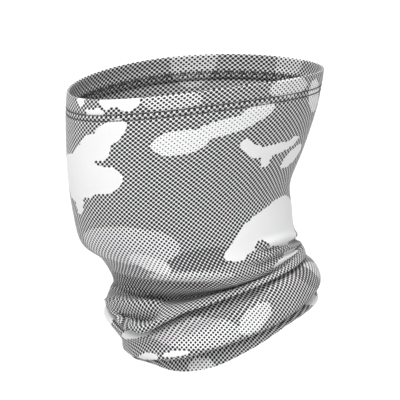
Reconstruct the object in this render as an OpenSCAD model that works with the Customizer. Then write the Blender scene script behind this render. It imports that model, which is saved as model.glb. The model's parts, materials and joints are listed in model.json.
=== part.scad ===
// Neck gaiter: a hemmed tube of stretch knit, shown as worn, with its top edge
// over the nose and its lower half bunched in folds round the neck.
// Millimetres. +Z is up, the wearer faces -Y and +X is the wearer's left.
// The origin is the middle of the neck, level with the deepest fold.

/* [Size] */
// Distance round the top edge as worn
rim_girth = 535; // [480:5:590]
// Height as worn, from the front of the bottom hem to the back of the rim
worn_height = 212; // [180:1:240]
// Thickness of the knitted cloth
cloth = 0.8; // [0.6:0.1:1.0]

/* [Hems] */
// Distance from a finished edge to the middle of its two stitch lines
hem_depth = 13.3; // [12:0.1:15]
// Distance between the two needle threads of a hem
needle_gauge = 3.2; // [2.4:0.1:4.8]
// Thickness of a sewing thread
thread_d = 0.4; // [0.3:0.05:0.5]
// Clear gap between two layers of cloth, and between cloth and thread
layer_gap = 0.3; // [0.2:0.05:0.4]

/* [Back seam] */
// Place of the seam round the tube, from 0 at the nose over the left ear
seam_angle = 212; // [195:1:225]
// Width of the flat seam, from one needle thread to the other
seam_width = 5; // [4:0.5:6]

/* [Care label] */
// Width of the label, measured round the tube
label_w = 20; // [15:1:25]
// Length of the label from its sewn edge to its free edge
label_h = 24; // [18:1:28]
// Thickness of the folded label ribbon
label_t = 0.6; // [0.4:0.1:0.8]

/* [Hidden] */

// Rings of the worn tube from the top edge down. Each row holds the ring's height at
// the nose, the ear and the nape, then its reach to the front, to the side and to the back.
RINGS = [
    [ 140, 152, 154,   93, 77, 93], // rim
    [ 127, 139, 141,   94, 76, 91], // middle of the top hem's stitches
    [ 108, 118, 124,   94, 74, 87], // cheek
    [  80,  90,  98,   93, 70, 78], // jaw
    [  52,  64,  74,   89, 67, 68], // below the jaw
    [  32,  38,  56,   83, 66, 69], // chin
    [  20,  14,  34,   68, 64, 73], // under the chin
    [   5,   6,  28,   60, 55, 74], // hollow of the throat
    [  -9,   7,  26,   62, 61, 78], // upper fold
    [ -24,   3,  20,   65, 64, 80], // lip of the upper fold
    [ -20,   5,  22,   56, 55, 74], // inside of the first crease
    [ -30,  -3,  14,   59, 61, 86], // shoulder of the lower fold
    [ -38, -13,   6,   56, 64, 91], // crown of the lower fold
    [ -47, -26,   0,   52, 63, 91], // lip of the lower fold
    [ -43, -22,  -3,   46, 55, 85], // inside of the second crease
    [ -51, -31,  -8,   47, 60, 89], // bottom band
    [ -58, -39, -13,   45, 58, 90], // bottom edge
];
BASE_GIRTH = 535;
BASE_HEIGHT = 212;
k_round = rim_girth / BASE_GIRTH;
k_tall = worn_height / BASE_HEIGHT;

last_ring = len(RINGS) - 1;
turns = 48;                   // places round a ring
step = 360 / turns;
print_grey = [0.72, 0.72, 0.72];
turned_grey = [0.82, 0.82, 0.82];
thread_grey = [0.28, 0.28, 0.28];
label_white = [0.95, 0.95, 0.95];

// ---- The worn surface ----

function ring_row(t) =
    let (i = min(floor(t), last_ring - 1), f = t - i)
    RINGS[i] * (1 - f) + RINGS[i + 1] * f;

// A value given at the nose, ear and nape, at any place between them
function around(nose, ear, nape, a) =
    ear + (nose - nape) / 2 * cos(a) + ((nose + nape) / 2 - ear) * pow(cos(a), 2);

// Point of the outer face, t rings down from the rim and a degrees round from the nose
function face_point(t, a) =
    let (r = ring_row(t))
    [
        k_round * r[4] * sin(a),
        k_round * ((r[5] - r[3]) / 2 - (r[5] + r[3]) / 2 * cos(a)),
        k_tall * around(r[0], r[1], r[2], a)
    ];

function unit(v) = v / norm(v);

half_ring = 0.5;

// Outward direction, taken over half a ring up and down and a place to each side
function outward(t, a) =
    let (
        above = face_point(max(t - half_ring, 0), a),
        below = face_point(min(t + half_ring, last_ring), a),
        before = face_point(t, a - step),
        after = face_point(t, a + step)
    )
    unit(cross(below - above, after - before));

// Corner k of ring t, at a depth below the outer face (a negative depth stands proud of it)
function corner_point(t, k, depth) = face_point(t, k * step) - depth * outward(t, k * step);

// Point a degrees round ring t, on the flat facet between two corners
function cloth_point(t, a, depth) =
    let (k = floor(a / step), f = a / step - k)
    corner_point(t, k, depth) * (1 - f) + corner_point(t, k + 1, depth) * f;

// How many rings lie in a length of cloth measured from ring t towards ring t + way
function rings_in(length, t, way) =
    length / norm(face_point(t + way, 90) - face_point(t, 90));

// ---- Closed sheets and threads ----

// A sheet of cloth between two depths, over the listed rings, all the way round
module cloth_sheet(ring_list, depth_out, depth_in) {
    n = len(ring_list);
    points = [
        for (depth = [depth_out, depth_in], t = ring_list, k = [0 : turns - 1])
            corner_point(t, k, depth)
    ];
    function at(side, i, k) = side * n * turns + i * turns + k % turns;
    faces = [
        for (i = [0 : n - 2], k = [0 : turns - 1])
            each [
                [at(0, i, k), at(0, i, k + 1), at(0, i + 1, k + 1)],
                [at(0, i, k), at(0, i + 1, k + 1), at(0, i + 1, k)],
                [at(1, i, k), at(1, i + 1, k + 1), at(1, i, k + 1)],
                [at(1, i, k), at(1, i + 1, k), at(1, i + 1, k + 1)]
            ],
        for (k = [0 : turns - 1])
            each [
                [at(0, 0, k), at(1, 0, k), at(1, 0, k + 1)],
                [at(0, 0, k), at(1, 0, k + 1), at(0, 0, k + 1)],
                [at(0, n - 1, k), at(0, n - 1, k + 1), at(1, n - 1, k + 1)],
                [at(0, n - 1, k), at(1, n - 1, k + 1), at(1, n - 1, k)]
            ]
    ];
    polyhedron(points, faces);
}

thread_sides = 6;

// A thread along a path: each stop is [ring, place round, depth of its middle]
module thread(stops, closed) {
    n = len(stops);
    r = thread_d / 2;
    path = [for (s = stops) cloth_point(s[0], s[1], s[2])];
    points = [
        for (i = [0 : n - 1])
            let (
                ahead = path[closed ? (i + 1) % n : min(i + 1, n - 1)],
                behind = path[closed ? (i + n - 1) % n : max(i - 1, 0)],
                along = unit(ahead - behind),
                side = unit(cross(along, outward(stops[i][0], stops[i][1]))),
                rise = cross(side, along)
            )
            for (k = [0 : thread_sides - 1])
                path[i] + r * (cos(k * 360 / thread_sides) * side + sin(k * 360 / thread_sides) * rise)
    ];
    function at(i, k) = (i % n) * thread_sides + k % thread_sides;
    faces = [
        for (i = [0 : closed ? n - 1 : n - 2], k = [0 : thread_sides - 1])
            each [
                [at(i, k), at(i + 1, k + 1), at(i + 1, k)],
                [at(i, k), at(i, k + 1), at(i + 1, k + 1)]
            ],
        if (!closed) [for (k = [thread_sides - 1 : -1 : 0]) at(0, k)],
        if (!closed) [for (k = [0 : thread_sides - 1]) at(n - 1, k)]
    ];
    polyhedron(points, faces);
}

proud = -(thread_d / 2 + layer_gap / 2);                     // middle of a thread on the outer face
hem_top = cloth + layer_gap;                                 // depth of the turned-in layer
behind_hem = hem_top + cloth + layer_gap / 2 + thread_d / 2; // middle of a thread behind the hem
turn_gap = 0.6;                                              // from a finished edge to that layer

top_mid = rings_in(hem_depth, 0, 1);               // place of the top hem's stitches
top_half = rings_in(needle_gauge / 2, 0, 1);
bottom_mid = last_ring - rings_in(hem_depth, last_ring, -1);
bottom_half = rings_in(needle_gauge / 2, last_ring, -1);

// Stops that both layers share at the bottom, so that they bend alike in the crease
bottom_stops = [
    bottom_mid - bottom_half, bottom_mid + bottom_half,
    last_ring - 1, last_ring - half_ring
];

// ---- The tube ----

module tube_panel() {
    color(print_grey)
        cloth_sheet([
            for (i = [0 : last_ring - 2]) if (i < bottom_stops[0]) i,
            each bottom_stops, last_ring
        ], 0, cloth);
}

// ---- Hems ----

module needle_thread(t) {
    color(thread_grey)
        thread([for (k = [0 : turns - 1]) [t, k * step, proud]], true);
}

// Zigzag behind a hem that covers the cut edge of the turned-in cloth
module looper_thread(mid, half) {
    color(thread_grey)
        thread([
            for (k = [0 : 2 * turns - 1])
                [mid + (k % 2 == 0 ? half : -half), k * step / 2, behind_hem]
        ], true);
}

// Turned-in layer, from the rim to a cut edge one gauge below the stitches' middle
module top_hem() {
    color(turned_grey)
        cloth_sheet([
            rings_in(turn_gap, 0, 1), half_ring, top_mid, top_mid + 2 * top_half
        ], hem_top, hem_top + cloth);
}

module top_hem_upper_needle_thread() { needle_thread(top_mid - top_half); }
module top_hem_lower_needle_thread() { needle_thread(top_mid + top_half); }
module top_hem_looper_thread() { looper_thread(top_mid, top_half); }

// Turned-in layer, from a cut edge at the upper needle thread to the bottom edge
module bottom_hem() {
    color(turned_grey)
        cloth_sheet([
            each bottom_stops, last_ring - rings_in(turn_gap, last_ring, -1)
        ], hem_top, hem_top + cloth);
}

module bottom_hem_upper_needle_thread() { needle_thread(bottom_mid - bottom_half); }
module bottom_hem_lower_needle_thread() { needle_thread(bottom_mid + bottom_half); }
module bottom_hem_looper_thread() { looper_thread(bottom_mid, bottom_half); }

// ---- Back seam ----

// The seam's threads start and stop clear of the hems' stitches
seam_half = seam_width / 2 * 360 / rim_girth;      // half the seam's width in degrees
seam_start = top_mid + 3 * top_half;
seam_end = bottom_mid - 4 * bottom_half;

// Straight needle thread down the outside of the seam
module seam_needle_thread(a) {
    stops = [seam_start, for (i = [ceil(seam_start) : floor(seam_end)]) i, seam_end];
    color(thread_grey)
        thread([for (t = stops) [t, a, proud]], false);
}

module seam_left_needle_thread() { seam_needle_thread(seam_angle - seam_half); }
module seam_right_needle_thread() { seam_needle_thread(seam_angle + seam_half); }

// Zigzag down the inside of the seam, between the two hems
module seam_cover_thread() {
    behind_cloth = cloth + layer_gap + thread_d / 2;
    color(thread_grey)
        thread([
            for (i = [ceil(seam_start) : floor(seam_end)], f = [0, half_ring])
                if (i + f < seam_end)
                    [i + f, seam_angle + (f == 0 ? seam_half : -seam_half), behind_cloth]
        ], false);
}

// ---- Care label ----

label_ring = 10;                                   // sewn inside the first crease
label_stand = 2;                                   // its distance inside the cloth's back
round_sides = 24;
stitch_l = 2.6;                                    // length of the bar of one stitch
stitch_places = [0.25, 0.43];                      // from the label's middle, as parts of its width
label_root = cloth_point(label_ring, seam_angle, cloth + label_stand);
label_out = unit([outward(label_ring, seam_angle)[0], outward(label_ring, seam_angle)[1], 0]);
label_turn = atan2(label_out[1], label_out[0]);

// Places a child so that X points out through the cloth and Z is up at the sewn edge
module at_label() {
    translate(label_root)
        rotate([0, 0, label_turn])
            children();
}

module care_label() {
    top = -(thread_d / 2 + layer_gap);      // clear of the stitches as the label swings
    color(label_white)
        at_label() {
            translate([-label_t / 2, -label_w / 2, top - label_h + label_t / 2])
                cube([label_t, label_w, label_h - label_t / 2]);
            translate([0, label_w / 2, top - label_h + label_t / 2])
                rotate([90, 0, 0])
                    cylinder(h = label_w, d = label_t, $fn = round_sides);
        }
}

// One stitch: a bar along the sewn edge with two legs into the cloth
module label_stitch() {
    translate([0, stitch_l / 2, 0])
        rotate([90, 0, 0])
            cylinder(h = stitch_l, d = thread_d, $fn = round_sides);
    for (side = [-1, 1])
        translate([0, side * (stitch_l / 2 - thread_d / 2), 0])
            rotate([0, 90, 0])
                cylinder(h = label_stand + cloth / 2, d = thread_d, $fn = round_sides);
}

module care_label_stitches() {
    color(thread_grey)
        at_label()
            for (side = [-1, 1], place = stitch_places)
                translate([0, side * place * label_w, 0])
                    label_stitch();
}

tube_panel();
top_hem();
top_hem_upper_needle_thread();
top_hem_lower_needle_thread();
top_hem_looper_thread();
bottom_hem();
bottom_hem_upper_needle_thread();
bottom_hem_lower_needle_thread();
bottom_hem_looper_thread();
seam_left_needle_thread();
seam_right_needle_thread();
seam_cover_thread();
care_label();
care_label_stitches();
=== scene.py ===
"""Neck gaiter: a printed knit tube shown as worn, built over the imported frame.

The rings and the print are written in millimetres. Blender gets metres, in the frame's own axes:
+Z up, the wearer faces -Y and +X is the wearer's left. Places round the tube are degrees from the
nose over the left ear. Places down the cloth are rings of the table, from the rim at 0.
"""

import json
import math

import bpy
import numpy as np
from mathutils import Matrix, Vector


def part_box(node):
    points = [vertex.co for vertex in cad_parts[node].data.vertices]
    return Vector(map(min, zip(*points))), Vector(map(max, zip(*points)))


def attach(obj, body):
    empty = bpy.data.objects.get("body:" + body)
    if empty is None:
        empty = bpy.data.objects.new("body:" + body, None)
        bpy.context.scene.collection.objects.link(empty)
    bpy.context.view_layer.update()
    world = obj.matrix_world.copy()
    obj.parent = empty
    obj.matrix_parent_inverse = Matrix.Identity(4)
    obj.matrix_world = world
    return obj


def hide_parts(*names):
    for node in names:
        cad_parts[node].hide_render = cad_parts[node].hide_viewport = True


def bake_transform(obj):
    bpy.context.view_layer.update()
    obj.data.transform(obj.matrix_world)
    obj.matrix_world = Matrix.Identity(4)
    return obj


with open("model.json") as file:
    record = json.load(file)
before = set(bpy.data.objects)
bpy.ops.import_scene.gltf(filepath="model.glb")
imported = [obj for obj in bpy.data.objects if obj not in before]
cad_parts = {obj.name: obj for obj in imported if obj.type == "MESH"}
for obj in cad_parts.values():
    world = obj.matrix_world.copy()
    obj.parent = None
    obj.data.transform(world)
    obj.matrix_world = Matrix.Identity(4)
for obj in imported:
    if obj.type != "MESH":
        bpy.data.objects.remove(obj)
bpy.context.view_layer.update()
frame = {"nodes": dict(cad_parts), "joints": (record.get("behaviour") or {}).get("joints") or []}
MM = 0.001

# ---- The worn shape ----

# Each row holds a ring's height at the nose, ear and nape, then its reach to the front, side and back
RINGS = np.array([
    [140, 152, 154, 93, 77, 93],  # rim
    [127, 139, 141, 94, 76, 91],  # stitches of the top hem
    [108, 118, 124, 94, 74, 87],  # cheek
    [80, 90, 98, 93, 70, 78],  # jaw
    [52, 64, 74, 89, 67, 68],  # below the jaw
    [32, 38, 56, 83, 66, 69],  # chin
    [20, 14, 34, 68, 64, 73],  # under the chin
    [5, 6, 28, 60, 55, 74],  # hollow of the throat
    [-9, 7, 26, 62, 61, 78],  # upper fold
    [-24, 3, 20, 65, 64, 80],  # lip of the upper fold
    [-20, 5, 22, 56, 55, 74],  # inside of the first crease
    [-30, -3, 14, 59, 61, 86],  # shoulder of the lower fold
    [-38, -13, 6, 56, 64, 91],  # crown of the lower fold
    [-47, -26, 0, 52, 63, 91],  # lip of the lower fold
    [-43, -22, -3, 46, 55, 85],  # inside of the second crease
    [-51, -31, -8, 47, 60, 89],  # bottom band
    [-58, -39, -13, 45, 58, 90],  # bottom edge
], float)
LAST = len(RINGS) - 1
TABLE_LOW = np.array([-77, -94, -58.0])  # corners of the box that the table fills
TABLE_HIGH = np.array([77, 93, 154.6])
panel_low, panel_high = (np.array(corner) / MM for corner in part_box("tube_panel"))
SIZE_UP = (panel_high - panel_low) / (TABLE_HIGH - TABLE_LOW)

CLOTH = 0.8  # thickness of the knit
GAP = 0.3  # clear gap between the two layers of a hem
HEM_DEPTH = 13.3  # from a finished edge to the middle of its stitches
GAUGE = 3.2  # between the two needle threads of a hem
THREAD = 0.7  # thickness of the sewing thread
THREAD_GAP = 0.05  # clear gap between the cloth and a thread behind it
SEAM_DEG = 212  # where the seam runs down the back
SEAM_WIDTH = 5  # between its two needle threads
RELAXED_GIRTH = 420  # round the tube before it is pulled over a head

# Where single rings stray from the table: stops of degrees, millimetres up and millimetres out
STRAYS = {
    6: [(0, 0, 0), (25, 0, 1), (60, 0, 3), (90, 0, 2), (110, 0, -1), (150, 0, -2), (180, 0, 0)],
    7: [
        (-10, 0, 0), (22, -3, -3), (45, -5, -6), (60, -4, -7), (72, -2, -4), (85, -1, -2),
        (97, 0, 0), (115, 0, 3), (150, 0, 2), (175, 0, 0),
    ],
    8: [(-45, 0, 0), (-17, 5, 0), (7, 4, 0), (21, 0, 0), (37, -2, 0), (63, -1.5, 0), (80, 0, 0)],
    9: [
        (-50, 0, 0), (-17, 8, 0), (-4, 7, 0), (12, 2, 0), (22, -3, 0), (31, -7, 0), (39, -6, 0),
        (48, -3, 0), (60, 0, 0),
    ],
    10: [
        (-50, 0, 0), (-17, 7, 0), (12, 2, -3), (31, -5, -6), (48, -3, -6), (60, 0, -6),
        (130, 0, -5), (165, 0, 0),
    ],
    11: [
        (-60, 0, 0), (-30, 8, 6), (-12, 8, 7), (5, 3, 2), (31, -3, 0), (48, 0, 0), (70, 2, 1),
        (130, 2, 0), (165, 0, 0),
    ],
    12: [(-60, 0, 0), (-17, 2, -2), (5, 0, 0), (20, 0, 0)],
    13: [(0, 0, 0), (38, -2.5, 2), (50, -3, 2.5), (61, -2, 2.5), (80, -1, 2), (105, -1, 1), (130, 0, 0)],
    14: [(0, 0, 0), (38, 0, -6), (55, 0, -7), (75, 0, -6), (105, 0, -5), (130, 0, 0)],
    15: [(10, 0, 0), (38, 0, -2), (55, 1, -2), (75, 1, -1), (105, 1, -1), (130, 0, 0)],
    16: [
        (-60, 0, 0), (-17, 5, 0), (24, 4, 0), (37, 0, 0), (61, -3, 0), (89, 1, 0), (115, 5, 0),
        (132, 4, 0), (161, 0, 0),
    ],
}


def in_turn(degrees):
    """The same place round the tube, counted from the back seam."""
    return (degrees - SEAM_DEG) % 360 + SEAM_DEG - 360


def smooth_line(x, stops):
    """A smooth curve through a few (x, y) stops, flat past both ends."""
    xs, ys = np.array(stops, float).T
    slopes = np.gradient(ys, xs)
    x = np.clip(x, xs[0], xs[-1])
    i = np.clip(np.searchsorted(xs, x) - 1, 0, len(xs) - 2)
    h = xs[i + 1] - xs[i]
    f = (x - xs[i]) / h
    return (
        (1 + 2 * f) * (1 - f) ** 2 * ys[i] + f * (1 - f) ** 2 * h * slopes[i]
        + f * f * (3 - 2 * f) * ys[i + 1] + f * f * (f - 1) * h * slopes[i + 1]
    )


def ring_points(degrees):
    """Every ring at these places. One more ring past either end continues in a straight line."""
    r = np.vstack([2 * RINGS[0] - RINGS[1], RINGS, 2 * RINGS[-1] - RINGS[-2]])[:, :, None]
    up, out = np.zeros((2, LAST + 3, len(degrees)))
    for ring, stops in STRAYS.items():
        places, ups, outs = zip(*stops)
        up[ring + 1] = smooth_line(in_turn(degrees), list(zip(places, ups)))
        out[ring + 1] = smooth_line(in_turn(degrees), list(zip(places, outs)))
    c, s = np.cos(np.radians(degrees)), np.sin(np.radians(degrees))
    x = (r[:, 4] + out) * s
    y = (r[:, 5] - r[:, 3]) / 2 - ((r[:, 5] + r[:, 3]) / 2 + out) * c
    z = r[:, 1] + (r[:, 0] - r[:, 2]) / 2 * c + ((r[:, 0] + r[:, 2]) / 2 - r[:, 1]) * c * c
    return np.stack([x, y, z + up], -1)


def bare_point(t, degrees):
    """Points of the outer face without its relief, at ring t, on a smooth curve through the rings."""
    t, degrees = np.broadcast_arrays(np.clip(t, 0, LAST), np.asarray(degrees, float))
    places, column = np.unique(degrees, return_inverse=True)
    column = column.reshape(degrees.shape)
    rings = ring_points(places)
    i = np.minimum(t.astype(int), LAST - 1)
    f = (t - i)[..., None]
    a, b, c, d = (rings[i + k, column] for k in range(4))
    p = b + 0.5 * f * (c - a + f * (2 * a - 5 * b + 4 * c - d + f * (3 * (b - c) + d - a)))
    return panel_low + (p - TABLE_LOW) * SIZE_UP


def unit(v):
    return v / np.linalg.norm(v, axis=-1, keepdims=True)


def outward(t, degrees, reach=0.12, turn=1.5):
    """Outward direction of the bare shape, over a reach in rings and a turn in degrees to each side."""
    above = bare_point(np.maximum(t - reach, 0), degrees)
    below = bare_point(np.minimum(t + reach, LAST), degrees)
    before = bare_point(t, degrees - turn)
    after = bare_point(t, degrees + turn)
    return unit(np.cross(below - above, after - before))


LEFT_DEG = 90.0  # the wearer's left ear


def rings_in(length, t, way):
    """How many rings lie in a length of cloth up (-1) or down (1) from ring t, at the left ear."""
    return length / float(np.linalg.norm(bare_point(t + way, LEFT_DEG) - bare_point(t, LEFT_DEG)))


def running_sum(steps):
    """Sums of the steps so far, down the first axis, with a zero before the first step."""
    return np.concatenate([np.zeros((1, *steps.shape[1:])), np.cumsum(steps, axis=0)])


def step_lengths(points):
    """Distances from each point to the next, down the first axis."""
    return np.linalg.norm(np.diff(points, axis=0), axis=-1)


TOP_MID = rings_in(HEM_DEPTH, 0, 1)
TOP_HALF = rings_in(GAUGE / 2, 0, 1)
BOTTOM_MID = LAST - rings_in(HEM_DEPTH, LAST, -1)
BOTTOM_HALF = rings_in(GAUGE / 2, LAST, -1)
NEEDLE_LINES = (
    TOP_MID - TOP_HALF,
    TOP_MID + TOP_HALF,
    BOTTOM_MID - BOTTOM_HALF,
    BOTTOM_MID + BOTTOM_HALF,
)
NEEDLE_DIP = 0.6  # how deep a needle thread pulls the cloth in
NEEDLE_DIP_SPREAD = 0.6 * TOP_HALF  # how far up and down the cloth the dip reaches, in rings


# Ridges (positive height) and hollows of the bunched cloth. Each has its height and its spread up and
# down the cloth in millimetres, then its line: places round in degrees and down the cloth in
# millimetres from the rim. It fades out over END_FADE degrees past both ends of the line.
FOLDS = [
    (1.5, 6, 2, [(15, 132), (42, 133), (61, 134), (84, 136), (95, 139)]),
    (-2.5, 2, 4, [(20, 140), (42, 140), (58, 141), (72, 142)]),
    (2.0, 2, 2, [(-6, 152), (6, 149), (19, 150), (33, 153)]),
    (-2.0, 2, 2, [(-6, 155), (8, 153), (25, 155), (42, 160)]),
    (4.0, 2, 3, [(-4, 161), (8, 159), (25, 161), (38, 165)]),
    (-8.5, 4, 2.5, [(13, 171), (25, 173), (37, 176)]),
    (2.0, 3, 2, [(8, 177), (25, 179), (40, 181)]),
    (-3.5, 8, 5, [(58, 224), (72, 219), (84, 211), (98, 198)]),
    (2.5, 3, 3, [(121, 121), (136, 121), (160, 124)]),
    (-2.0, 2, 2, [(122, 125), (140, 125), (160, 128)]),
    (2.5, 3, 2, [(113, 130), (130, 128), (162, 133)]),
    (-1.5, 2, 2, [(113, 134), (130, 132), (150, 134)]),
    (1.5, 2, 2, [(112, 140), (124, 137), (140, 136), (154, 137)]),
]
END_FADE = 7

# Length of cloth from the rim down to every place of a grid, at the bare shape: sixty rows of the
# grid to a ring, and a column at every third degree
DOWN_T = np.linspace(0, LAST, 60 * LAST + 1)
DOWN_DEGREES = np.linspace(SEAM_DEG - 360, SEAM_DEG, 360 // 3 + 1)
DOWN = running_sum(step_lengths(bare_point(DOWN_T[:, None], DOWN_DEGREES[None, :])))


def down_cloth(t, degrees):
    """Millimetres of cloth from the rim down to a place, read from the grid."""
    row = np.clip(t, 0, LAST) / LAST * (len(DOWN_T) - 1)
    column = (in_turn(degrees) - DOWN_DEGREES[0]) / (DOWN_DEGREES[1] - DOWN_DEGREES[0])
    i = np.minimum(row.astype(int), len(DOWN_T) - 2)
    j = np.minimum(column.astype(int), len(DOWN_DEGREES) - 2)
    f, g = row - i, column - j
    upper = DOWN[i, j] * (1 - g) + DOWN[i, j + 1] * g
    lower = DOWN[i + 1, j] * (1 - g) + DOWN[i + 1, j + 1] * g
    return upper * (1 - f) + lower * f


def relief(t, degrees):
    """Small height of the cloth over the bare shape: its folds, and the dip along each needle thread."""
    height = np.zeros(t.shape)
    for line in NEEDLE_LINES:
        height -= NEEDLE_DIP * np.exp(-(((t - line) / NEEDLE_DIP_SPREAD) ** 2))
    down, place = down_cloth(t, degrees), in_turn(degrees)
    for rise, up, under, line in FOLDS:
        off = down - smooth_line(place, line)
        across = np.exp(-((off / np.where(off < 0, up, under)) ** 2))
        past = np.maximum(line[0][0] - place, place - line[-1][0]).clip(0)
        height += rise * across * np.exp(-((past / END_FADE) ** 2))
    return height


def cloth_point(t, degrees, depth=0.0):
    """Points at a depth below the outer face. A negative depth stands proud of it."""
    t, degrees = np.broadcast_arrays(np.asarray(t, float), np.asarray(degrees, float))
    rise = relief(t, degrees) - depth
    return bare_point(t, degrees) + rise[..., None] * outward(t, degrees)


def mesh_object(name, points, faces):
    """A smooth mesh object from points in millimetres."""
    mesh = bpy.data.meshes.new(name)
    mesh.from_pydata((np.asarray(points) * MM).tolist(), [], faces)
    mesh.validate()
    mesh.update()
    mesh.polygons.foreach_set("use_smooth", [True] * len(mesh.polygons))
    obj = bpy.data.objects.new(name, mesh)
    bpy.context.scene.collection.objects.link(obj)
    return obj


# ---- The cloth ----

COLUMNS = 236  # places round the tube
ROW_STEP = 1.6  # from row to row of the mesh, away from the needle threads
SPACING_DEG = 60.0  # where the steps from row to row are measured
FINE_REACH = 0.15  # how far the finer rows reach from a needle thread, in rings
FINE_EXTRA = 2  # rows added beside a needle thread for each one elsewhere
MEASURES = 250  # places to a ring at which its cloth is measured
BEND_STEPS = 7  # stops round a finished edge, both ends counted
TURNED_STEPS = 10  # stops down a turned-in layer


def outer_stops():
    """Places down the outer layer: even steps of cloth, and finer ones beside the needle threads."""
    fine = np.linspace(0, LAST, MEASURES * LAST + 1)
    steps = step_lengths(bare_point(fine, SPACING_DEG))
    near = np.min([np.abs(fine - line) for line in NEEDLE_LINES], axis=0)
    density = 1 + FINE_EXTRA * np.exp(-((near / FINE_REACH) ** 2))
    spread = running_sum(steps * (density[1:] + density[:-1]) / 2)
    count = round(spread[-1] / ROW_STEP)
    return np.interp(np.linspace(0, spread[-1], count + 1), spread, fine)


def cloth_path():
    """Stops of the whole cloth from one cut edge, over both finished edges, to the other cut edge.

    Each stop is (ring, depth of the middle of the cloth below the outer face).
    """
    skin = CLOTH / 2
    turned = CLOTH + GAP + skin
    bend = (turned - skin) / 2
    tip = rings_in(bend + skin, 0, 1)
    # The cut edge lies a little past the stitches at the top, and level with them at the bottom
    top_cut = TOP_MID + 2 * TOP_HALF
    bottom_cut = BOTTOM_MID - BOTTOM_HALF
    bottom_tip = LAST - rings_in(bend + skin, LAST, -1)
    around = np.linspace(0, math.pi, BEND_STEPS)[1:-1]
    outer = outer_stops()
    outer = outer[(outer > tip) & (outer < bottom_tip)]
    outer = np.concatenate([[tip], outer, [bottom_tip]])
    stops = [(t, turned) for t in np.linspace(top_cut, tip, TURNED_STEPS)]
    stops += [
        (tip - rings_in(bend, 0, 1) * math.sin(a), turned - bend + bend * math.cos(a))
        for a in around
    ]
    stops += [(t, skin) for t in outer]
    stops += [
        (bottom_tip + rings_in(bend, LAST, -1) * math.sin(a), turned - bend - bend * math.cos(a))
        for a in around
    ]
    stops += [(t, turned) for t in np.linspace(bottom_tip, bottom_cut, TURNED_STEPS)]
    return np.array(stops)


def share_of_girth(degrees):
    """How far round the rim a place is, from the nose, as cloth lies evenly round it."""
    fine = np.radians(np.linspace(-360, 360, 720 * 4 + 1))
    step = np.hypot(RINGS[0, 4] * np.cos(fine), RINGS[0, 3] * np.sin(fine))
    run = running_sum(step[1:] + step[:-1])
    run -= np.interp(0, fine, run)
    return np.interp(np.radians(degrees), fine, run) / np.interp(2 * math.pi, fine, run)


def evened(values, spread):
    """Rows of values round the tube, each smoothed over a spread in columns."""
    shift = np.arange(-3 * spread, 3 * spread + 1)
    weight = np.exp(-((shift / spread) ** 2))
    return sum(w * np.roll(values, k, axis=1) for k, w in zip(shift, weight)) / weight.sum()


PRINT_SPREAD = 14  # columns over which a deep fold draws the print along


def cloth_loops(rows):
    """Loops of (side, row, column) corners: both sides of the cloth by turns, then its cut edges."""
    loops = []
    for i in range(rows - 1):
        for j in range(COLUMNS):
            square = [(i, j), (i + 1, j), (i + 1, j + 1), (i, j + 1)]
            loops.append([(0, *corner) for corner in square])
            loops.append([(1, *corner) for corner in square[::-1]])
    for i, order in ((0, 1), (rows - 1, -1)):
        for j in range(COLUMNS):
            loops.append([(0, i, j), (0, i, j + 1), (1, i, j + 1), (1, i, j)][::order])
    return loops


def build_cloth():
    """The cloth as one sheet, with its place on the relaxed cloth as coordinates in metres."""
    stops = cloth_path()
    rows = len(stops)
    degrees = np.linspace(SEAM_DEG - 360, SEAM_DEG, COLUMNS + 1)
    middle = cloth_point(stops[:, :1], degrees[None, :], stops[:, 1:])
    down = np.gradient(middle, axis=0)
    across = np.empty_like(middle)
    across[:, 1:-1] = middle[:, 2:] - middle[:, :-2]
    across[:, 0] = across[:, -1] = middle[:, 1] - middle[:, -2]
    normal = unit(np.cross(down, across))
    middle, normal = middle[:, :-1], normal[:, :-1]
    points = np.concatenate([
        (middle + normal * CLOTH / 2).reshape(-1, 3),
        (middle - normal * CLOTH / 2).reshape(-1, 3),
    ])
    loops = cloth_loops(rows)
    faces = [[(side * rows + i) * COLUMNS + j % COLUMNS for side, i, j in loop] for loop in loops]
    obj = mesh_object("printed_cloth", points, faces)

    run = running_sum(step_lengths(middle))
    rim_row = int(np.argmin(stops[:, 0]))
    run = evened(run - run[rim_row], PRINT_SPREAD)
    print_u = share_of_girth(degrees) * RELAXED_GIRTH
    row, column = np.array([(i, j) for loop in loops for _, i, j in loop]).T
    uv = np.stack([print_u[column], run[row, column % COLUMNS]], -1) * MM
    layer = obj.data.uv_layers.new(name="print")
    layer.data.foreach_set("uv", uv.ravel().astype(np.float32))
    material_index = [int(all(side for side, _, _ in loop)) for loop in loops]
    obj.data.polygons.foreach_set("material_index", material_index)
    return obj


# ---- Threads ----

THREAD_SIDES = 6
OFF_AXIS = [0.01, 0.013, 0.35]  # keeps the side of a tube defined where its path runs straight out


def tube(path, radius, closed=False):
    """Points and faces of a round tube along a path. radius is one number, or one for each point."""
    path = np.asarray(path, float)
    n = len(path)
    ahead = np.roll(path, -1, 0) if closed else np.vstack([path[1:], path[-1:]])
    behind = np.roll(path, 1, 0) if closed else np.vstack([path[:1], path[:-1]])
    along = unit(ahead - behind)
    side = unit(np.cross(along, unit(path * [1, 1, 0] + OFF_AXIS)))
    rise = np.cross(side, along)
    turn = np.arange(THREAD_SIDES) * 2 * math.pi / THREAD_SIDES
    ring = np.cos(turn)[None, :, None] * side[:, None] + np.sin(turn)[None, :, None] * rise[:, None]
    points = (path[:, None] + np.reshape(radius, (-1, 1, 1)) * ring).reshape(-1, 3)
    faces = []
    for i in range(n if closed else n - 1):
        for k in range(THREAD_SIDES):
            a, b = i * THREAD_SIDES, (i + 1) % n * THREAD_SIDES
            faces.append([a + k, b + k, b + (k + 1) % THREAD_SIDES, a + (k + 1) % THREAD_SIDES])
    if not closed:
        faces.append(list(range(THREAD_SIDES))[::-1])
        faces.append([(n - 1) * THREAD_SIDES + k for k in range(THREAD_SIDES)])
    return points, faces


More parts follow.
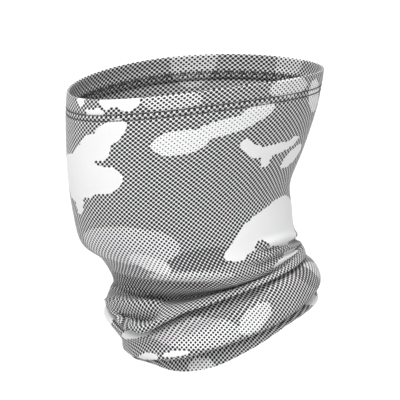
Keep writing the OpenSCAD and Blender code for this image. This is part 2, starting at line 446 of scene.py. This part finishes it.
def joined(name, parts):
    """One object from several (points, faces) parts."""
    points, faces, start = [], [], 0
    for part_points, part_faces in parts:
        points.append(part_points)
        faces += [[start + k for k in face] for face in part_faces]
        start += len(part_points)
    return mesh_object(name, np.vstack(points), faces)


STITCH = 2.8  # length of one stitch
# Six places along a stitch: how far through it they are, their depth and their thickness, the last
# two in thicknesses of the thread
STITCH_STOPS = np.linspace(0.04, 0.96, 6)
STITCH_DIP = np.array([0.7, -0.3, -0.45, -0.45, -0.3, 0.7])
STITCH_FAT = np.array([0.6, 1.0, 1.0, 1.0, 1.0, 0.6])


def stitches(t_from, t_to, degrees_from, degrees_to, count):
    """A row of single stitches that dip into the outer face between two places."""
    parts = []
    for k in range(count):
        f = (k + STITCH_STOPS) / count
        t = t_from + (t_to - t_from) * f
        degrees = degrees_from + (degrees_to - degrees_from) * f
        path = cloth_point(t, degrees, STITCH_DIP * THREAD)
        parts.append(tube(path, STITCH_FAT * THREAD / 2))
    return parts


def ring_length(t):
    """Length round the cloth at ring t."""
    return float(step_lengths(cloth_point(t, np.linspace(0, 360, 361))).sum())


def needle_row(name, t):
    """A needle thread's row of stitches round the tube at ring t."""
    return joined(name, stitches(t, t, 0, 360, round(ring_length(t) / STITCH)))


# Four places in one turn of a looper: how far across it is, in halves of the gauge, and how far off
# the cloth, in thicknesses of the thread
LOOPER_SWING = [-1, -0.2, 1, 0.2]
LOOPER_LIFT = [0, 0.25, 0, 0.25]


def looper_row(name, t, half, depth):
    """The cover thread behind a hem, which crosses from one needle thread to the other."""
    turns = round(ring_length(t) / STITCH)
    count = turns * len(LOOPER_SWING)
    swing = np.tile(LOOPER_SWING, turns) * half
    lift = np.tile(LOOPER_LIFT, turns) * THREAD
    path = cloth_point(t + swing, np.arange(count) / count * 360, depth + lift)
    return joined(name, [tube(path, THREAD / 2, closed=True)])


HEM_BACK = 2 * CLOTH + GAP + THREAD / 2 + THREAD_GAP  # depth of a looper behind the turned-in layer
top_upper = needle_row("top_hem_upper_stitches", TOP_MID - TOP_HALF)
top_lower = needle_row("top_hem_lower_stitches", TOP_MID + TOP_HALF)
top_looper = looper_row("top_hem_cover_thread", TOP_MID, TOP_HALF, HEM_BACK)
bottom_upper = needle_row("bottom_hem_upper_stitches", BOTTOM_MID - BOTTOM_HALF)
bottom_lower = needle_row("bottom_hem_lower_stitches", BOTTOM_MID + BOTTOM_HALF)
bottom_looper = looper_row("bottom_hem_cover_thread", BOTTOM_MID, BOTTOM_HALF, HEM_BACK)

# The seam's threads run between the hems, clear of their stitches
SEAM_FROM = TOP_MID + 3 * TOP_HALF
SEAM_TO = BOTTOM_MID - 4 * BOTTOM_HALF
SEAM_HALF = SEAM_WIDTH / 2 * 360 / ring_length(0)  # half the seam's width in degrees, at the rim
SEAM_PLACES = 300  # places at which the seam's length is measured
seam_line = cloth_point(np.linspace(SEAM_FROM, SEAM_TO, SEAM_PLACES), SEAM_DEG)
SEAM_STITCHES = round(float(step_lengths(seam_line).sum()) / STITCH)


def seam_row(name, degrees):
    """A needle thread's row of stitches down the seam."""
    return joined(name, stitches(SEAM_FROM, SEAM_TO, degrees, degrees, SEAM_STITCHES))


def seam_cover(name):
    """The cover thread inside the seam, a zigzag from one needle thread to the other."""
    count = 2 * SEAM_STITCHES
    t = np.linspace(SEAM_FROM, SEAM_TO, count)
    swing = np.where(np.arange(count) % 2, 1, -1) * SEAM_HALF
    path = cloth_point(t, SEAM_DEG + swing, CLOTH + THREAD / 2 + THREAD_GAP)
    return joined(name, [tube(path, THREAD / 2)])


seam_left = seam_row("seam_left_stitches", SEAM_DEG - SEAM_HALF)
seam_right = seam_row("seam_right_stitches", SEAM_DEG + SEAM_HALF)
seam_inside = seam_cover("seam_cover_thread_zigzag")

# ---- The care label ----

LABEL_WIDTH = 20
LABEL_LENGTH = 24  # folded
RIBBON = 0.18  # thickness of the ribbon
LABEL_LOOP = 0.6  # thickness of the folded label at its free edge
LABEL_TOP = 0.55  # from the hinge line down to the ribbon, so that it swings clear of its stitches
LABEL_SWAY = 1.2  # how far inwards its free edge has curved
LABEL_WAVE = 0.5  # how far its sides wave there
WAVE_SPAN = 6.0  # width of ribbon to one radian of that wave
RIBBON_COLUMNS = 21
RIBBON_ROWS = 26  # down each layer
FOLD_STEPS = 9  # stops round the fold, both ends counted
flap = next(j for j in frame["joints"] if j["name"] == "care_label_flap")


def ribbon_path():
    """Stops of the middle of the ribbon: its distance from the middle plane and its drop."""
    bend = LABEL_LOOP / 2 - RIBBON / 2
    length = LABEL_LENGTH - bend
    down = np.linspace(LABEL_TOP, length, RIBBON_ROWS)
    around = np.linspace(0, math.pi, FOLD_STEPS)[1:-1]
    layer = np.full(RIBBON_ROWS, bend)
    side = np.concatenate([layer, bend * np.cos(around), -layer])
    drop = np.concatenate([down, length + bend * np.sin(around), down[::-1]])
    return side, drop


def build_label():
    """A folded ribbon that hangs from its hinge line, in a light curve."""
    hinge = np.array(flap["pos_m"]) / MM
    across = -unit(np.array(flap["axis"], float))
    inward = np.cross(across, [0, 0, 1])
    inward = -inward if inward @ (hinge * [1, 1, 0]) > 0 else inward
    side, drop = ribbon_path()
    widths = np.linspace(-LABEL_WIDTH / 2, LABEL_WIDTH / 2, RIBBON_COLUMNS)
    points = []
    for face in (1, -1):
        for beside, below in zip(side, drop):
            share = below / LABEL_LENGTH
            out = beside + face * RIBBON / 2 * (1 if beside > 0 else -1)
            for w in widths:
                sway = LABEL_SWAY * share ** 2 + LABEL_WAVE * math.sin(w / WAVE_SPAN) * share
                points.append(hinge + across * w + inward * (out + sway) - np.array([0, 0, below]))
    rows, columns = len(side), len(widths)

    def at(layer, i, j):
        return layer * rows * columns + i * columns + j

    faces = []
    for i in range(rows - 1):
        for j in range(columns - 1):
            faces.append([at(0, i, j), at(0, i, j + 1), at(0, i + 1, j + 1), at(0, i + 1, j)])
            faces.append([at(1, i, j), at(1, i + 1, j), at(1, i + 1, j + 1), at(1, i, j + 1)])
    edge = [(i, 0) for i in range(rows)]
    edge += [(rows - 1, j) for j in range(1, columns)]
    edge += [(i, columns - 1) for i in range(rows - 2, -1, -1)]
    edge += [(0, j) for j in range(columns - 2, 0, -1)]
    for here, there in zip(edge, edge[1:] + edge[:1]):
        faces.append([at(0, *here), at(0, *there), at(1, *there), at(1, *here)])
    return mesh_object("care_label_ribbon", points, faces)


cloth = build_cloth()
label = build_label()

# ---- Materials ----

SPECULAR = 0.25  # dull: cloth, thread, ribbon and floor alike
FIBRE_RELIEF = 0.0001  # metres; how far the fibres of the knit, yarn and ribbon stand proud


def new_material(name, roughness, sheen=0.0):
    material = bpy.data.materials.new(name)
    material.use_nodes = True
    shader = material.node_tree.nodes["Principled BSDF"]
    shader.inputs["Roughness"].default_value = roughness
    shader.inputs["Specular IOR Level"].default_value = SPECULAR
    shader.inputs["Sheen Weight"].default_value = sheen
    return material, material.node_tree, shader


class Nodes:
    """Short calls that add nodes to a tree and link them."""

    def __init__(self, tree):
        self.tree = tree

    def feed(self, socket, value):
        """Link another socket into this input, or give it a plain value."""
        if isinstance(value, bpy.types.NodeSocket):
            self.tree.links.new(value, socket)
        else:
            socket.default_value = value

    def add(self, kind, inputs=(), **settings):
        node = self.tree.nodes.new(kind)
        for key, value in settings.items():
            setattr(node, key, value)
        for key, value in dict(inputs).items():
            self.feed(node.inputs[key], value)
        return node

    def math(self, operation, a, b):
        return self.add("ShaderNodeMath", {0: a, 1: b}, operation=operation).outputs[0]

    def sine(self, a):
        return self.add("ShaderNodeMath", {0: a}, operation="SINE").outputs[0]

    def vector(self, operation, a, b=(0, 0, 0)):
        node = self.add("ShaderNodeVectorMath", {0: a, 1: b}, operation=operation)
        return node.outputs["Value" if operation == "LENGTH" else "Vector"]

    def mapping(self, vector, kind, move=(0, 0, 0), turn=0.0, scale=(1, 1, 1)):
        inputs = {"Vector": vector, "Location": move, "Rotation": (0, 0, turn), "Scale": scale}
        return self.add("ShaderNodeMapping", inputs, vector_type=kind).outputs[0]

    def mix(self, factor, a, b, data_type="FLOAT"):
        """Mix two numbers, or two colours with the data type RGBA."""
        kind = "RGBA" if data_type == "RGBA" else "VALUE"
        node = self.add("ShaderNodeMix", data_type=data_type)
        for name, value, wanted in (("Factor", factor, "VALUE"), ("A", a, kind), ("B", b, kind)):
            socket = next(s for s in node.inputs if s.name == name and s.type == wanted)
            self.feed(socket, value)
        return next(s for s in node.outputs if s.type == kind)

    def colour(self, factor, a, b):
        """Mix two (red, green, blue) colours."""
        return self.mix(factor, (*a, 1), (*b, 1), "RGBA")

    def relief(self, shader, height, strength):
        """Raise a shader's surface by a height."""
        inputs = {"Height": height, "Strength": strength, "Distance": FIBRE_RELIEF}
        self.tree.links.new(self.add("ShaderNodeBump", inputs).outputs[0], shader.inputs["Normal"])


# Radius of the printed dots, in parts of the distance from dot to dot
WHITE, FAINT, LIGHT, MID, DARK, HEAVY = 0.0, 0.2, 0.3, 0.37, 0.45, 0.49
NO_DOT = 0.01  # a smaller radius than this prints nothing
DOT_BLUR = 0.05  # half the width of a dot's soft edge, in the same parts
DOTS_ROUND = 132  # dots round the tube in one row
WANDER = 1.5  # how far noise moves the edges of the patches
WANDER_SCALE = 0.09  # of that noise

GROUND = (0.75, 0.75, 0.755)
INK_OUTSIDE = (0.018, 0.018, 0.02)
INK_INSIDE = (0.03, 0.03, 0.032)
CLOUD_SCALE = 0.6  # of the noise that makes the knit a little lighter and darker
CLOUD_SHADES = (0.97, 1.03)
WALES, COURSES = 9.0, 11.0  # columns and rows of loops in the knit, in radians to a millimetre

# Patches of the camouflage in the order they are printed, on a ground of DARK dots. Each has its dot
# size, its place on the relaxed cloth (millimetres round from the nose, then down from the rim), half
# its length, half its width and its turn in degrees. Two HEAVY patches are painted shade, not
# camouflage:
# heavier dots under the chin and in a crease pocket. The renderer carries about 70 of them; with 82 it
# drew the whole cloth black.
PATCHES = [
    # painted shade: heavy dots that darken the throat under the chin, where shade falls
    (HEAVY, 50, 148, 58, 13, 3),
    (HEAVY, 176, 180, 26, 16, -10),
    # painted shadow: heavy dots in the pocket of the crease below the upper fold
    (HEAVY, 23, 181, 17, 4, 8),
    (HEAVY, 92, 122, 26, 8, 0),
    (MID, 71, 4, 17, 7, 5),
    (LIGHT, 143, 6, 15, 7, 4),
    (MID, 42, 107, 38, 15, 5),
    (MID, 78, 134, 30, 4, 6),
    (LIGHT, 55, 121, 14, 7, 25),
    (WHITE, 41, 2, 13, 7, 6),
    (DARK, 39, 13, 9, 7, 16),
    (WHITE, 23, 9, 9, 3, 0),
    (WHITE, 12, 1, 4, 5, 0),
    (DARK, 22, 3, 6, 4, 0),
    (DARK, 14, 10, 5, 3, 0),
    (DARK, 3, 16, 9, 22, -5),
    (WHITE, 35, 25, 14, 8, -42),
    (WHITE, 25, 35, 12, 10, 0),
    (WHITE, 28, 57, 18, 11, 4),
    (WHITE, 17, 52, 17, 19, 0),
    (WHITE, 2, 58, 17, 17, 0),
    (WHITE, 8, 75, 5, 9, 10),
    (DARK, 36, 46, 11, 2.2, 3),
    (FAINT, 78, 35, 17, 9, 0),
    (FAINT, 103, 28, 23, 6, -10),
    (FAINT, 122, 21, 12, 6, -16),
    (FAINT, 172, 17, 8, 14, -30),
    (WHITE, 119, 44, 6, 4, 51),
    (WHITE, 126, 49, 8, 4, 25),
    (WHITE, 140, 51, 16, 4.5, -4),
    (WHITE, 136, 56, 4, 7, 10),
    (WHITE, 157, 48, 6, 3.5, -15),
    (WHITE, 163, 60, 12, 6, -28),
    (WHITE, 145, 110, 31, 14, -18),
    (WHITE, 124, 120, 18, 7, -12),
    (WHITE, 166, 110, 27, 19, 6),
    (DARK, 137, 127, 7, 10, 0),
    (DARK, 128, 131, 12, 7, -25),
    (WHITE, 169, 139, 12, 3.5, -6),
    (WHITE, 154, 141, 12, 2, -8),
    (WHITE, 22, 219, 17, 4, 12),
    (WHITE, -13, 197, 12, 8, 8),
    (MID, 66, 225, 30, 12, 0),
    (LIGHT, 108, 217, 16, 7, -40),
    (WHITE, 26, 241, 11, 3, 8),
    (WHITE, 51, 240, 9, 2, -12),
    (WHITE, 44, 271, 9, 2, 5),
    (LIGHT, 64, 279, 10, 5, -5),
    (WHITE, 170, 213, 18, 6, -8),
    (MID, -125, 0, 14, 24, 0),
    (MID, 242, -2, 17, 12, 6),
    (WHITE, -60, 60, 24, 9, 12),
    (WHITE, -76, 50, 12, 9, -40),
    (WHITE, -47, 70, 10, 9, 35),
    (WHITE, -93, 86, 14, 8, -30),
    (FAINT, -122, 42, 24, 7, 8),
    (FAINT, -102, 35, 15, 6, -18),
    (WHITE, -40, 122, 19, 8, -20),
    (WHITE, -118, 112, 17, 8, 15),
    (WHITE, -133, 120, 11, 10, -30),
    (MID, -78, 152, 30, 10, 5),
    (WHITE, -62, 200, 20, 6, -12),
    (FAINT, -120, 184, 22, 8, 10),
    (WHITE, 205, 58, 15, 8, 20),
    (WHITE, 217, 68, 10, 9, -30),
    (FAINT, 205, 98, 20, 7, -15),
    (WHITE, 216, 148, 13, 8, 30),
    (MID, 195, 180, 26, 9, 5),
]


def camouflage_and_shade_group():
    """Node group: a place on the cloth in millimetres gives the size of the dot printed there, for the
    camouflage and for the heavier dots that paint shade under the chin and in a crease pocket.
    """
    group = bpy.data.node_groups.new("camouflage_and_shade", "ShaderNodeTree")
    group.interface.new_socket("Place", in_out="INPUT", socket_type="NodeSocketVector")
    group.interface.new_socket("Dot", in_out="OUTPUT", socket_type="NodeSocketFloat")
    n = Nodes(group)
    source = n.add("NodeGroupInput").outputs[0]
    wobble = n.add("ShaderNodeTexNoise", {"Vector": source, "Scale": WANDER_SCALE, "Detail": 1.0})
    shift = n.vector("SUBTRACT", wobble.outputs["Color"], (0.5, 0.5, 0.5))
    place = n.vector("ADD", source, n.vector("MULTIPLY", shift, (WANDER, WANDER, 0)))
    dot = DARK
    for size, u, v, half_long, half_wide, turn in PATCHES:
        local = n.mapping(place, "TEXTURE", (u, v, 0), math.radians(turn), (half_long, half_wide, 1))
        within = n.math("LESS_THAN", n.vector("LENGTH", local), 1.0)
        dot = n.mix(within, dot, size)
    out = n.add("NodeGroupOutput")
    group.links.new(dot, out.inputs[0])
    return group


def knit_material(name, ink, dot_sizes):
    """Jersey printed with dots on a lattice that stands on its corner."""
    material, tree, shader = new_material(name, roughness=0.85, sheen=0.15)
    n = Nodes(tree)
    uv = n.add("ShaderNodeUVMap", uv_map="print").outputs[0]
    place = n.vector("MULTIPLY", uv, (1 / MM, 1 / MM, 0))
    pitch = RELAXED_GIRTH / DOTS_ROUND / math.sqrt(2)
    lattice = dict(turn=math.radians(45), scale=(pitch, pitch, 1))
    cell = n.mapping(place, "TEXTURE", **lattice)
    middle = n.vector("ADD", n.vector("FLOOR", cell), (0.5, 0.5, 0))
    local = n.vector("MULTIPLY", n.vector("SUBTRACT", cell, middle), (1, 1, 0))
    centre = n.vector("MULTIPLY", n.mapping(middle, "POINT", **lattice), (1, 1, 0))
    # A dot's size is read half way from its centre to the place, so that patches cut into dots a little
    lookup = n.vector("MULTIPLY", n.vector("ADD", centre, place), (0.5, 0.5, 0))
    size = n.add("ShaderNodeGroup", {0: lookup}, node_tree=dot_sizes).outputs[0]
    dot = n.add("ShaderNodeMapRange", {
        "Value": n.vector("LENGTH", local),
        "From Min": n.math("ADD", size, DOT_BLUR),
        "From Max": n.math("SUBTRACT", size, DOT_BLUR),
    }, interpolation_type="SMOOTHSTEP").outputs[0]
    printed = n.math("MULTIPLY", dot, n.math("GREATER_THAN", size, NO_DOT))
    cloud = n.add("ShaderNodeTexNoise", {"Vector": place, "Scale": CLOUD_SCALE, "Detail": 3.0})
    low, high = CLOUD_SHADES
    cloudy = {"Value": cloud.outputs[0], "To Min": low, "To Max": high}
    shade = n.add("ShaderNodeMapRange", cloudy).outputs[0]
    # The ink dots print the camouflage and, in two patches, painted shade
    base = n.colour(printed, GROUND, ink)
    tint = n.add("ShaderNodeVectorMath", {0: base, 3: shade}, operation="SCALE").outputs[0]
    tree.links.new(tint, shader.inputs["Base Color"])
    round_tube, down_tube, _ = n.add("ShaderNodeSeparateXYZ", {0: place}).outputs
    wales = n.sine(n.math("MULTIPLY", round_tube, WALES))
    courses = n.sine(n.math("MULTIPLY", down_tube, COURSES))
    n.relief(shader, n.math("MULTIPLY", wales, courses), strength=0.25)
    return material


def wave_material(name, roughness, sheen, wave, bands, colours, strength):
    """Twisted yarn or woven ribbon: fine waves of two colours that stand a little proud."""
    material, tree, shader = new_material(name, roughness, sheen)
    n = Nodes(tree)
    place = n.add("ShaderNodeNewGeometry").outputs["Position"]
    twist = n.add("ShaderNodeTexWave", {"Vector": place, **wave}, bands_direction=bands)
    height = twist.outputs["Fac"]
    tree.links.new(n.colour(height, *colours), shader.inputs["Base Color"])
    n.relief(shader, height, strength)
    return material


camouflage_and_shade = camouflage_and_shade_group()
outside = knit_material("printed_knit", INK_OUTSIDE, camouflage_and_shade)
inside = knit_material("printed_knit_back", INK_INSIDE, camouflage_and_shade)
# Twisted dark grey yarn
thread = wave_material(
    "sewing_thread",
    roughness=0.7,
    sheen=0.2,
    wave={"Scale": 700.0, "Distortion": 2.0},
    bands="DIAGONAL",
    colours=((0.02, 0.02, 0.02), (0.05, 0.05, 0.05)),
    strength=0.4,
)
# White satin ribbon with a fine cross weave
satin = wave_material(
    "label_satin",
    roughness=0.4,
    sheen=0.0,
    wave={"Scale": 900.0},
    bands="Z",
    colours=((0.86, 0.86, 0.86), (0.92, 0.92, 0.91)),
    strength=0.3,
)
cloth.data.materials.append(outside)
cloth.data.materials.append(inside)
label.data.materials.append(satin)

# ---- What each piece rides on and stands for ----

top_threads = {
    top_upper: "top_hem_upper_needle_thread",
    top_lower: "top_hem_lower_needle_thread",
    top_looper: "top_hem_looper_thread",
}
bottom_threads = {
    bottom_upper: "bottom_hem_upper_needle_thread",
    bottom_lower: "bottom_hem_lower_needle_thread",
    bottom_looper: "bottom_hem_looper_thread",
}
seam_threads = {
    seam_left: "seam_left_needle_thread",
    seam_right: "seam_right_needle_thread",
    seam_inside: "seam_cover_thread",
}

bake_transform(cloth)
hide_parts("tube_panel", "top_hem", "bottom_hem")
for piece, node in {**top_threads, **bottom_threads, **seam_threads}.items():
    piece.data.materials.append(thread)
    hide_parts(node)
    if piece in top_threads:
        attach(piece, "top_edge")
    elif piece in bottom_threads:
        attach(piece, "tube")
    else:
        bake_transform(piece)
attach(label, "label")
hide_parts("care_label")
# The label's four stitches stay as the CAD has them, in the thread's material
tacks = frame["nodes"]["care_label_stitches"]
tacks.data.materials.clear()
tacks.data.materials.append(thread)

# ---- Stage, lights and camera ----

# Lengths here are metres, but for the sensor
FLOOR_SIZE = 60
FLOOR_LEVEL = -0.4
FLOOR_GREY = (0.72, 0.72, 0.72, 1)
SKY_WHITE = (1, 1, 1, 1)
SKY_STRENGTH = 0.25
CAMERA_AZIMUTH, CAMERA_ELEVATION = 70, 10
CAMERA_DISTANCE = 3.0
VIEW_WIDTH = 0.286  # what the frame takes in, level with the object
AIM_RIGHT, AIM_UP = 0.0029, 0.0593  # where the view is centred, across it from the frame's origin
VIEW_END = 100
SENSOR = 36  # millimetres wide


def direction(azimuth, elevation):
    """Unit vector towards a place in the sky: degrees round from the nose, then degrees up."""
    a, e = math.radians(azimuth), math.radians(elevation)
    return Vector((math.sin(a) * math.cos(e), -math.cos(a) * math.cos(e), math.sin(e)))


def placed(name, data, location, out):
    """An object that looks back along a direction, as lights and cameras do."""
    obj = bpy.data.objects.new(name, data)
    obj.location = location
    obj.rotation_euler = out.to_track_quat("Z", "Y").to_euler()
    bpy.context.scene.collection.objects.link(obj)
    return obj


def floor():
    bpy.ops.mesh.primitive_plane_add(size=FLOOR_SIZE, location=(0, 0, FLOOR_LEVEL))
    plane = bpy.context.object
    plane.name = "floor"
    material, _, shader = new_material("pale_floor", roughness=0.9)
    shader.inputs["Base Color"].default_value = FLOOR_GREY
    plane.data.materials.append(material)


def sky():
    world = bpy.data.worlds.new("studio")
    world.use_nodes = True
    background = world.node_tree.nodes["Background"]
    background.inputs["Color"].default_value = SKY_WHITE
    background.inputs["Strength"].default_value = SKY_STRENGTH
    bpy.context.scene.world = world


def soft_sun(name, azimuth, elevation, softness, strength):
    """A very soft distant light from a direction, even over the object and the floor."""
    data = bpy.data.lights.new(name, "SUN")
    data.angle = math.radians(softness)
    data.energy = strength
    placed(name, data, (0, 0, 0), direction(azimuth, elevation))


def camera():
    out = direction(CAMERA_AZIMUTH, CAMERA_ELEVATION)
    right = direction(CAMERA_AZIMUTH + 90, 0)
    aim = right * AIM_RIGHT + out.cross(right) * AIM_UP
    data = bpy.data.cameras.new("camera")
    data.sensor_width = SENSOR
    data.lens = SENSOR * CAMERA_DISTANCE / VIEW_WIDTH
    data.clip_end = VIEW_END
    bpy.context.scene.camera = placed("camera", data, aim + out * CAMERA_DISTANCE, out)


floor()
sky()
soft_sun("key", azimuth=52, elevation=60, softness=40, strength=3.85)
soft_sun("fill", azimuth=115, elevation=30, softness=90, strength=0.4)
soft_sun("back", azimuth=250, elevation=35, softness=90, strength=1.2)
camera()
bpy.context.scene.view_settings.view_transform = "Standard"
